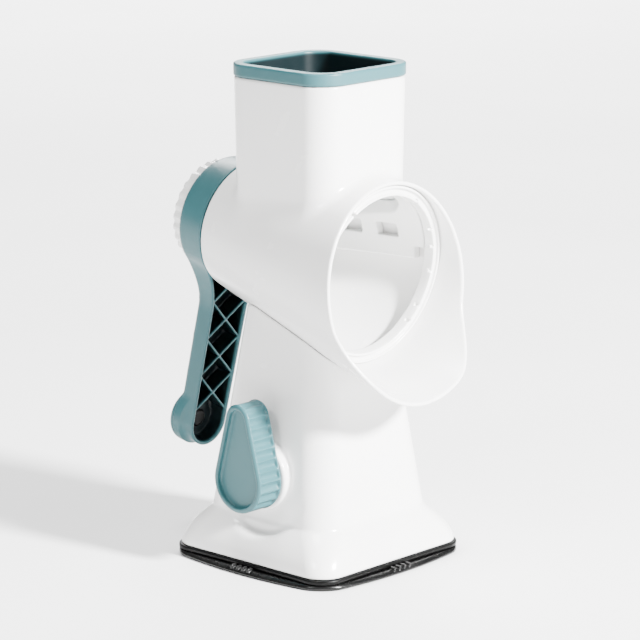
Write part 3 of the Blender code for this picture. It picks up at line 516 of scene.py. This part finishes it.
def crank_outline(down, side):
    """Distance outside the crank's outline: a round head, a hollow-sided neck, and an arm with a round end."""
    centre_side = ARM_HALF + ARM_FILLET
    centre_down = math.sqrt((HEAD_R + ARM_FILLET) ** 2 - centre_side**2)
    touch = HEAD_R * centre_down / (HEAD_R + ARM_FILLET)
    span = np.clip(down, 0, ARM_LENGTH)
    head = np.sqrt(np.maximum(HEAD_R**2 - np.minimum(span, touch) ** 2, 0))
    neck = centre_side - np.sqrt(np.maximum(ARM_FILLET**2 - np.minimum(span - centre_down, 0) ** 2, 0))
    narrowing = (ARM_HALF - ARM_END_R) * np.clip((span - centre_down) / (ARM_LENGTH - centre_down), 0, 1)
    half = np.where(span < touch, head, neck - narrowing)
    slope = np.where(span < touch, span / np.maximum(head, LEAST_SPAN), 0)
    neck_slope = (centre_down - span) / np.maximum(centre_side - neck, LEAST_SPAN)
    slope = np.where((span >= touch) & (span < centre_down), neck_slope, slope)
    flank = (np.abs(side) - half) / np.sqrt(1 + slope**2)
    top = np.hypot(down, side) - HEAD_R
    end = np.hypot(down - ARM_LENGTH, side) - ARM_END_R
    return np.where(down < 0, top, np.where(down > ARM_LENGTH, end, flank))


def crank_skin(down, side, along):
    """Distance outside the crank's flank, which narrows towards its back."""
    return crank_outline(down, side) + CRANK_DRAFT * (along - CRANK_FRONT)


def crank_shell(down, side, along, end_radius):
    """The head, the arm and the end boss, with the channel in their front."""
    skin = crank_skin(down, side, along)
    back = HEAD_BACK + (ARM_BACK - HEAD_BACK) * smooth_step((down - HEAD_SLOPE_START) / HEAD_SLOPE_LENGTH)
    shell = both(both(skin, along - back, CRANK_BACK_EDGE), CRANK_FRONT - along, CRANK_EDGE)
    boss_depth = between(along, ARM_BACK - END_BOSS_DEPTH, ARM_BACK)
    shell = join(shell, both(end_radius - END_BOSS_R, boss_depth, END_BOSS_EDGE), END_BOSS_FILLET)
    pocket = both(skin + CRANK_WALL, along - FLOOR_Y, POCKET_CORNER)
    return cut(shell, pocket, CRANK_EDGE)


def add_crank_ribs(crank, down, side, along):
    """Joins the crossed ribs that stand in the channel."""
    skin = crank_skin(down, side, along)
    depth = between(along, CRANK_FRONT + RIB_INSET, FLOOR_Y + FLOOR_BITE)
    for index in range(RIB_COUNT):
        offset = down - RIB_FIRST - index * RIB_PITCH
        for lean in (-1, 1):
            line = np.abs(offset * math.sin(RIB_ANGLE) - lean * side * math.cos(RIB_ANGLE))
            rib = np.maximum.reduce([line - RIB_HALF, depth, np.abs(offset) - RIB_REACH, skin + RIB_INSET])
            crank = join(crank, rib, RIB_FILLET)
    return crank


def crank_field(x, y, z):
    down, side, along = crank_axes(x, y, z)
    end_radius = np.hypot(down - ARM_LENGTH, side)
    crank = crank_shell(down, side, along, end_radius)
    hub = np.maximum(np.hypot(down, side) - HUB_R, between(along, HUB_FRONT, FLOOR_Y + FLOOR_BITE))
    crank = join(crank, hub, HUB_FILLET)
    seat_depth = between(along, FLOOR_Y - RIVET_SEAT_DEPTH, FLOOR_Y + FLOOR_BITE)
    crank = join(crank, both(end_radius - RIVET_SEAT_R, seat_depth, CRANK_EDGE))
    crank = add_crank_ribs(crank, down, side, along)
    square = np.maximum(np.abs(down), np.abs(side)) - SQUARE_HALF - GAP
    crank = cut(crank, np.maximum(square, -along))
    return cut(crank, end_radius - RIVET_HOLE_R)


# where the painted shade in the crank's channel and the pusher's cup starts and fades
DARK_FADE = 0.0006  # width of the change from the outer colour to the painted shade of the inner faces, across a wall
DARK_START = 0.0012  # from the outside, or below the front
DARK_FLOOR_MARGIN = 0.0005


def crank_painted_shade(x, y, z):
    """The share of painted shade down the channel, where shade falls: the rims and the tops of the ribs stay
    light.
    """
    down, side, along = crank_axes(x, y, z)
    in_channel = smooth_step((-crank_skin(down, side, along) - DARK_START) / DARK_FADE)
    below_rim = smooth_step((along - CRANK_FRONT - DARK_START) / (2 * DARK_FADE))
    return in_channel * below_rim * (along < FLOOR_Y + DARK_FLOOR_MARGIN)


def grip_field(x, y, z):
    down, side, along = crank_axes(x, y, z)
    radius = np.hypot(down - ARM_LENGTH, side)
    grip = both(radius - GRIP_R, GRIP_FRONT - along, GRIP_FRONT_EDGE)
    grip = both(grip, along - GRIP_BACK, GRIP_BACK_EDGE)
    sink = both(radius - GRIP_SINK_R, GRIP_BACK - GRIP_SINK_DEPTH - along, GRIP_SINK_CORNER)
    return cut(cut(grip, sink, GRIP_SINK_EDGE), radius - RIVET_HOLE_R)


def egg_outline(y, z):
    """(distance outside the lever's egg outline, distance round it from its lowest point)."""
    side = np.abs(y)
    lean = math.asin((LEVER_WIDE_R - LEVER_NARROW_R) / LEVER_NARROW_Z)
    along = -side * math.sin(lean) + z * math.cos(lean)
    length = LEVER_NARROW_Z * math.cos(lean)
    wide = np.hypot(side, z) - LEVER_WIDE_R
    narrow = np.hypot(side, z - LEVER_NARROW_Z) - LEVER_NARROW_R
    flank = side * math.cos(lean) + z * math.sin(lean) - LEVER_WIDE_R
    outside = np.where(along < 0, wide, np.where(along > length, narrow, flank))
    arc = LEVER_WIDE_R * (math.pi / 2 + lean)
    low_way = LEVER_WIDE_R * (np.arctan2(z, side) + math.pi / 2)
    high_way = arc + length + LEVER_NARROW_R * (np.arctan2(z - LEVER_NARROW_Z, side) - lean)
    way = np.where(along < 0, low_way, np.where(along > length, high_way, arc + along))
    half_length = arc + length + LEVER_NARROW_R * (math.pi / 2 - lean)
    return outside, way / half_length


def suction_knob_field(x, y, z):
    outside, share = egg_outline(y, z - LEVER_Z)
    flutes = 0.5 - 0.5 * np.cos(2 * math.pi * LEVER_FLUTES * share)
    fade = np.clip(np.minimum(FLUTE_RISE * share, FLUTE_FALL * (1 - share)), 0, 1)
    from_back = smooth_step((LEVER_BACK_X - FLUTE_MARGIN - x) / FLUTE_MARGIN)
    from_face = smooth_step((x - LEVER_FACE_X - FLUTE_MARGIN) / FLUTE_MARGIN)
    band = from_back * from_face
    side = outside + FLUTE_SINK * band + FLUTE_DEPTH * np.sqrt(flutes) * fade * band
    knob = both(side, LEVER_FACE_X - x, LEVER_FACE_EDGE)
    knob = both(knob, x - LEVER_BACK_X, LEVER_BACK_EDGE)
    recess = both(outside + RECESS_RIM, x - LEVER_FACE_X - RECESS_DEPTH, RECESS_CORNER)
    knob = cut(knob, recess, RECESS_EDGE)
    bore = np.maximum(np.hypot(y, z - LEVER_Z) - SHAFT_R - GAP, SHAFT_END_X - x)
    return cut(knob, bore)


def pusher_field(x, y, z):
    height = (z - PUSHER_FLOOR) / (PUSHER_TOP - PUSHER_FLOOR)
    cy = y - HOPPER_Y
    rim_outline = rounded_square(x, cy, PUSHER_RIM_HALF, PUSHER_RIM_CORNER)
    rim = both(rim_outline, between(z, HOPPER_TOP + GAP, PUSHER_TOP), PUSHER_RIM_EDGE)
    shank_half = PUSHER_HALF - PUSHER_DRAFT * (1 - height)
    shank_outline = rounded_square(x, cy, shank_half, PUSHER_CORNER)
    shank = both(shank_outline, between(z, PUSHER_FLOOR, PUSHER_SHANK_TOP), PUSHER_EDGE)
    cup_half = PUSHER_INSIDE - PUSHER_INSIDE_DRAFT * (1 - height)
    cup_outline = rounded_square(x, cy, cup_half, PUSHER_INSIDE_CORNER)
    cup = both(cup_outline, PUSHER_FLOOR + PUSHER_FLOOR_THICK - z, PUSHER_CUP_CORNER)
    body = cut(join(rim, shank), cup, PUSHER_RIM_EDGE)
    low = (-PRESS_RIB_HALF, -PRESS_RIB_REACH, PUSHER_FLOOR - PRESS_RIB_DEPTH)
    high = (PRESS_RIB_HALF, PRESS_RIB_REACH, PUSHER_FLOOR + PRESS_RIB_BITE)
    for step in PRESS_RIBS:
        body = join(body, box(x - step * PRESS_RIB_PITCH, cy, z, low, high), PRESS_RIB_FILLET)
    return body


def pusher_painted_shade(x, y, z):
    """The painted shade inside the cup, from just under its rounded rim."""
    outline = rounded_square(x, y - HOPPER_Y, PUSHER_INSIDE + DARK_START, PUSHER_INSIDE_CORNER + DARK_START)
    inward = smooth_step(-outline / PUSHER_DARK_FADE)
    below_rim = smooth_step((PUSHER_TOP - PUSHER_LIGHT_RIM - z) / PUSHER_DARK_DROP)
    return inward * below_rim * (z > PUSHER_FLOOR + PUSHER_FLOOR_THICK / 2)


# ---------------------------------------------------------------- foot
def pad_field(x, y, z):
    height = np.clip((z - PAD_SOLE) / (PAD_TOP - PAD_SOLE), 0, 1)
    bulge = PAD_BULGE * (1 - PAD_BULGE_LOSS * height)
    bow_x = 1 + bulge / PAD_HALF * (1 - np.clip((y / PAD_HALF) ** 2, 0, 1))
    bow_y = 1 + bulge / PAD_HALF * (1 - np.clip((x / PAD_HALF) ** 2, 0, 1))
    pad = both(rounded_square(x / bow_x, y / bow_y, PAD_HALF, PAD_CORNER), between(z, 0.0, PAD_TOP), PAD_EDGE)
    radius = np.hypot(x, y)
    hub = both(radius - PAD_HUB_R, between(z, PAD_HUB_BOTTOM, PAD_HUB_TOP), PAD_HUB_EDGE)
    pad = join(pad, hub, PAD_HUB_EDGE)
    socket = np.maximum(radius - SOCKET_R, between(z, SOCKET_BOTTOM, SOCKET_TOP))
    stem_hole = np.maximum(radius - STEM_HOLE_R, STEM_HOLE_BOTTOM - z)
    pad = cut(pad, np.minimum(socket, stem_hole))
    for out, side in ((np.abs(x), y), (np.abs(y), x)):
        reach = np.maximum(between(out, TAB_START, TAB_END), between(z, TAB_BOTTOM, TAB_TOP))
        for tab_place in TAB_PLACES:
            tab = np.maximum(reach, np.abs(side - tab_place) - TAB_HALF)
            pad = join(pad, tab, TAB_FILLET)
    return pad


def base_frame_field(x, y, z):
    outer = rounded_square(x, y, FRAME_HALF, FRAME_CORNER)
    inner = rounded_square(x, y, FRAME_INNER, FRAME_INNER_CORNER)
    return both(both(outer, between(z, FRAME_BOTTOM, FRAME_TOP), FRAME_EDGE), -inner)


# ---------------------------------------------------------------- materials
def material_nodes(name):
    material = bpy.data.materials.new(name)
    material.use_nodes = True
    tree = material.node_tree
    return material, tree, tree.nodes["Principled BSDF"]


def noise(tree, scale, detail=3.0):
    node = tree.nodes.new("ShaderNodeTexNoise")
    node.inputs["Scale"].default_value = scale
    node.inputs["Detail"].default_value = detail
    place = tree.nodes.new("ShaderNodeTexCoord")
    tree.links.new(place.outputs["Object"], node.inputs["Vector"])
    return node.outputs["Fac"]


NOISE_LOW, NOISE_HIGH = 0.3, 0.7  # where nearly all of a noise's values lie


def spread(tree, source, low, high):
    """Maps the middle of a noise to the range from low to high."""
    node = tree.nodes.new("ShaderNodeMapRange")
    node.inputs["From Min"].default_value = NOISE_LOW
    node.inputs["From Max"].default_value = NOISE_HIGH
    node.inputs["To Min"].default_value = low
    node.inputs["To Max"].default_value = high
    tree.links.new(source, node.inputs["Value"])
    return node.outputs["Result"]


def mottle(tree, source, first, second):
    """A colour that drifts between two near shades with the noise."""
    node = tree.nodes.new("ShaderNodeValToRGB")
    node.color_ramp.elements[0].position = 0.35
    node.color_ramp.elements[0].color = (*first, 1.0)
    node.color_ramp.elements[1].position = 0.65
    node.color_ramp.elements[1].color = (*second, 1.0)
    tree.links.new(source, node.inputs["Fac"])
    return node.outputs["Color"]


def painted_inside_shade(tree, colour, inside):
    """Fades a colour to the painted shade colour of the deep inner faces, by the mesh's own share of painted
    shade.
    """
    share = tree.nodes.new("ShaderNodeAttribute")
    share.attribute_name = "inside"
    mix = tree.nodes.new("ShaderNodeMix")
    mix.data_type = "RGBA"
    tree.links.new(share.outputs["Fac"], mix.inputs["Factor"])
    tree.links.new(colour, mix.inputs["A"])
    mix.inputs["B"].default_value = (*inside, 1.0)
    return mix.outputs["Result"]


DRIFT_SCALE = 14.0
GLOSS_SCALE = 55.0
GRAIN_STRENGTH = 0.35
GRAIN_DETAIL = 2.0
PLASTIC_IOR = 1.50
COAT_ROUGHNESS = 0.12


FINE_GRAIN = (0.00002, 900.0)  # depth in metres, and scale
COARSE_GRAIN = (0.00004, 500.0)


def plastic(name, shades, roughness, grain=FINE_GRAIN, coat=0.0, specular=0.5, inside=None):
    """Moulded plastic: two near shades in slow drifts, gloss that varies a little, and a fine moulded grain.
    Where inside is given, it is the painted shade colour of the piece's deep inner faces."""
    material, tree, shader = material_nodes(name)
    colour = mottle(tree, noise(tree, DRIFT_SCALE), *shades)
    if inside:
        colour = painted_inside_shade(tree, colour, inside)
    tree.links.new(colour, shader.inputs["Base Color"])
    tree.links.new(spread(tree, noise(tree, GLOSS_SCALE), *roughness), shader.inputs["Roughness"])
    bump = tree.nodes.new("ShaderNodeBump")
    bump.inputs["Strength"].default_value = GRAIN_STRENGTH
    grain_depth, grain_scale = grain
    bump.inputs["Distance"].default_value = grain_depth
    tree.links.new(noise(tree, grain_scale, GRAIN_DETAIL), bump.inputs["Height"])
    tree.links.new(bump.outputs["Normal"], shader.inputs["Normal"])
    shader.inputs["IOR"].default_value = PLASTIC_IOR
    shader.inputs["Specular IOR Level"].default_value = specular
    shader.inputs["Coat Weight"].default_value = coat
    shader.inputs["Coat Roughness"].default_value = COAT_ROUGHNESS
    return material


STEEL_SCALE = 300.0
SCRATCH_SCALE = 700.0


def steel(name):
    """Bright steel with fine turned scratches."""
    material, tree, shader = material_nodes(name)
    colour = mottle(tree, noise(tree, STEEL_SCALE), (0.52, 0.52, 0.53), (0.66, 0.66, 0.67))
    tree.links.new(colour, shader.inputs["Base Color"])
    tree.links.new(spread(tree, noise(tree, SCRATCH_SCALE), 0.22, 0.38), shader.inputs["Roughness"])
    shader.inputs["Metallic"].default_value = 1.0
    return material


PAPER_SCALE = 3.0


def floor_material():
    material, tree, shader = material_nodes("studio_paper")
    colour = mottle(tree, noise(tree, PAPER_SCALE), (0.77, 0.77, 0.77), (0.80, 0.80, 0.80))
    tree.links.new(colour, shader.inputs["Base Color"])
    shader.inputs["Roughness"].default_value = 0.85
    return material


# ---------------------------------------------------------------- pieces
def place(name, field, node, body, slot, material, cell, depth=None):
    """Meshes a field over the box of the CAD node that it replaces."""
    low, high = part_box(node)
    piece = surface(name, field, low, high, cell, depth)
    piece.data.materials.append(material)
    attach(piece, body)
    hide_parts(node)
    return piece


def finish(name, material):
    """Gives a CAD node that stays its finish."""
    materials = frame["nodes"][name].data.materials
    materials.clear()
    materials.append(material)


WHITE_SHADES = (0.80, 0.795, 0.785), (0.825, 0.82, 0.81)
TEAL_SHADES = (0.028, 0.099, 0.111), (0.032, 0.108, 0.121)
# painted shade colour for the deep inner faces of the crank's channel and the pusher's cup
TEAL_PAINTED_SHADE = (0.0008, 0.0055, 0.0068)
TEAL_ROUGHNESS = (0.34, 0.44)
TEAL_SPECULAR = 0.35
BLACK_SHADES = (0.001, 0.001, 0.001), (0.002, 0.002, 0.002)
RUBBER_SHADES = (0.002, 0.002, 0.002), (0.004, 0.004, 0.004)
NYLON_SHADES = (0.60, 0.59, 0.55), (0.66, 0.65, 0.61)


def build_pieces():
    white = plastic("white_gloss_abs", WHITE_SHADES, (0.20, 0.28), coat=0.3)
    teal = plastic("teal_satin_abs", TEAL_SHADES, TEAL_ROUGHNESS, specular=TEAL_SPECULAR)
    # the same teal, with painted shade on its deep inner faces
    teal_with_painted_shade = plastic(
        "teal_satin_abs_painted_shade", TEAL_SHADES, TEAL_ROUGHNESS, specular=TEAL_SPECULAR, inside=TEAL_PAINTED_SHADE
    )
    black = plastic("black_gloss_abs", BLACK_SHADES, (0.30, 0.40), specular=0.12)
    rubber = plastic("black_rubber", RUBBER_SHADES, (0.22, 0.32), COARSE_GRAIN, specular=0.30)
    nylon = plastic("natural_nylon", NYLON_SHADES, (0.45, 0.55))
    metal = steel("bright_steel")

    # name, field, CAD node that it replaces, body, slot, material, grid cell, depth (share of painted shade)
    place("barrel", barrel_field, "barrel_housing", "base", "white_abs", white, 0.0011)
    place("stand", pedestal_field, "pedestal", "base", "white_abs", white, 0.0010)
    place("drum_ring", ring_field, "mouth_ring", "base", "white_abs", white, 0.0006)
    place("feed_liner", liner_field, "throat_liner", "base", "white_abs", white, 0.0007)
    place("foot_pad", pad_field, "suction_pad", "base", "black_rubber", rubber, 0.0007)
    place("foot_band", base_frame_field, "base_frame", "base", "black_abs", black, 0.0006)
    place("lever", suction_knob_field, "suction_knob", "suction_lever", "teal_abs", teal, 0.0006)
    # the crank's channel walls and floor get painted shade
    place("crank_channel", crank_field, "crank_arm", "crank", "teal_abs", teal_with_painted_shade, 0.0006, crank_painted_shade)
    place("crank_lock", lock_knob_field, "lock_knob", "lock_knob", "white_abs", white, 0.0006)
    place("crank_grip", grip_field, "grip_knob", "grip", "teal_abs", teal, 0.0005)
    # the pusher's cup gets painted shade inside, below its rim
    place("food_pusher", pusher_field, "pusher", "pusher", "teal_abs", teal_with_painted_shade, 0.0008, pusher_painted_shade)

    finishes = {"steel": metal, "natural_nylon": nylon}
    for part in frame["record"]["subparts"]:
        if part["material_slot"] in finishes:
            finish(part["node"], finishes[part["material_slot"]])
    # the rivet takes the black so that its head on the channel floor joins the painted shade there
    finish("grip_rivet", black)


# ---------------------------------------------------------------- studio
AZIMUTH = math.radians(47.17)
ELEVATION = math.radians(12.64)
DISTANCE = 1.9418
TARGET = Vector((0.0, 0.0, 0.15))
LENS = 182.3
SENSOR_WIDTH = 36.0
SHIFT = (0.0031, -0.0163)


def add_camera():
    level = math.cos(ELEVATION)
    forward = Vector((math.sin(AZIMUTH) * level, math.cos(AZIMUTH) * level, -math.sin(ELEVATION)))
    data = bpy.data.cameras.new("camera")
    data.lens = LENS
    data.sensor_width = SENSOR_WIDTH
    data.shift_x, data.shift_y = SHIFT
    camera = bpy.data.objects.new("camera", data)
    camera.location = TARGET - forward * DISTANCE
    camera.rotation_euler = forward.to_track_quat("-Z", "Y").to_euler()
    bpy.context.scene.collection.objects.link(camera)
    bpy.context.scene.camera = camera


def add_softbox(name, location, size, power, aim=TARGET):
    data = bpy.data.lights.new(name, "AREA")
    data.shape = "DISK"
    data.size = size
    data.energy = power
    light = bpy.data.objects.new(name, data)
    light.location = location
    light.rotation_euler = (Vector(aim) - Vector(location)).to_track_quat("-Z", "Y").to_euler()
    bpy.context.scene.collection.objects.link(light)


FLOOR_REACH = 12.0
FLOOR_DROP = 0.0002


def add_floor():
    mesh = bpy.data.meshes.new("floor")
    corners = [(FLOOR_REACH * x, FLOOR_REACH * y, 0) for x, y in ((-1, -1), (1, -1), (1, 1), (-1, 1))]
    mesh.from_pydata(corners, [], [(0, 1, 2, 3)])
    floor = bpy.data.objects.new("floor", mesh)
    floor.location.z = -FLOOR_DROP
    bpy.context.scene.collection.objects.link(floor)
    mesh.materials.append(floor_material())


FILL = 0.30


def add_fill():
    """Even white light from all round."""
    world = bpy.data.worlds.new("studio")
    world.use_nodes = True
    background = world.node_tree.nodes["Background"]
    background.inputs["Color"].default_value = (1.0, 1.0, 1.0, 1.0)
    background.inputs["Strength"].default_value = FILL
    bpy.context.scene.world = world


def add_studio():
    add_camera()
    add_floor()
    # name, place in metres, width in metres, power in watts
    add_softbox("key", (0.35, -2.6, 1.6), 0.4, 780)
    add_softbox("left", (-2.3, -0.2, 1.9), 0.5, 40)
    add_softbox("top", (-0.2, 0.2, 2.3), 0.8, 45)
    add_softbox("backdrop", (2.4, 2.3, 2.2), 2.4, 420, (2.4, 2.3, 0.0))
    add_fill()


build_pieces()
add_studio()
bpy.context.view_layer.update()
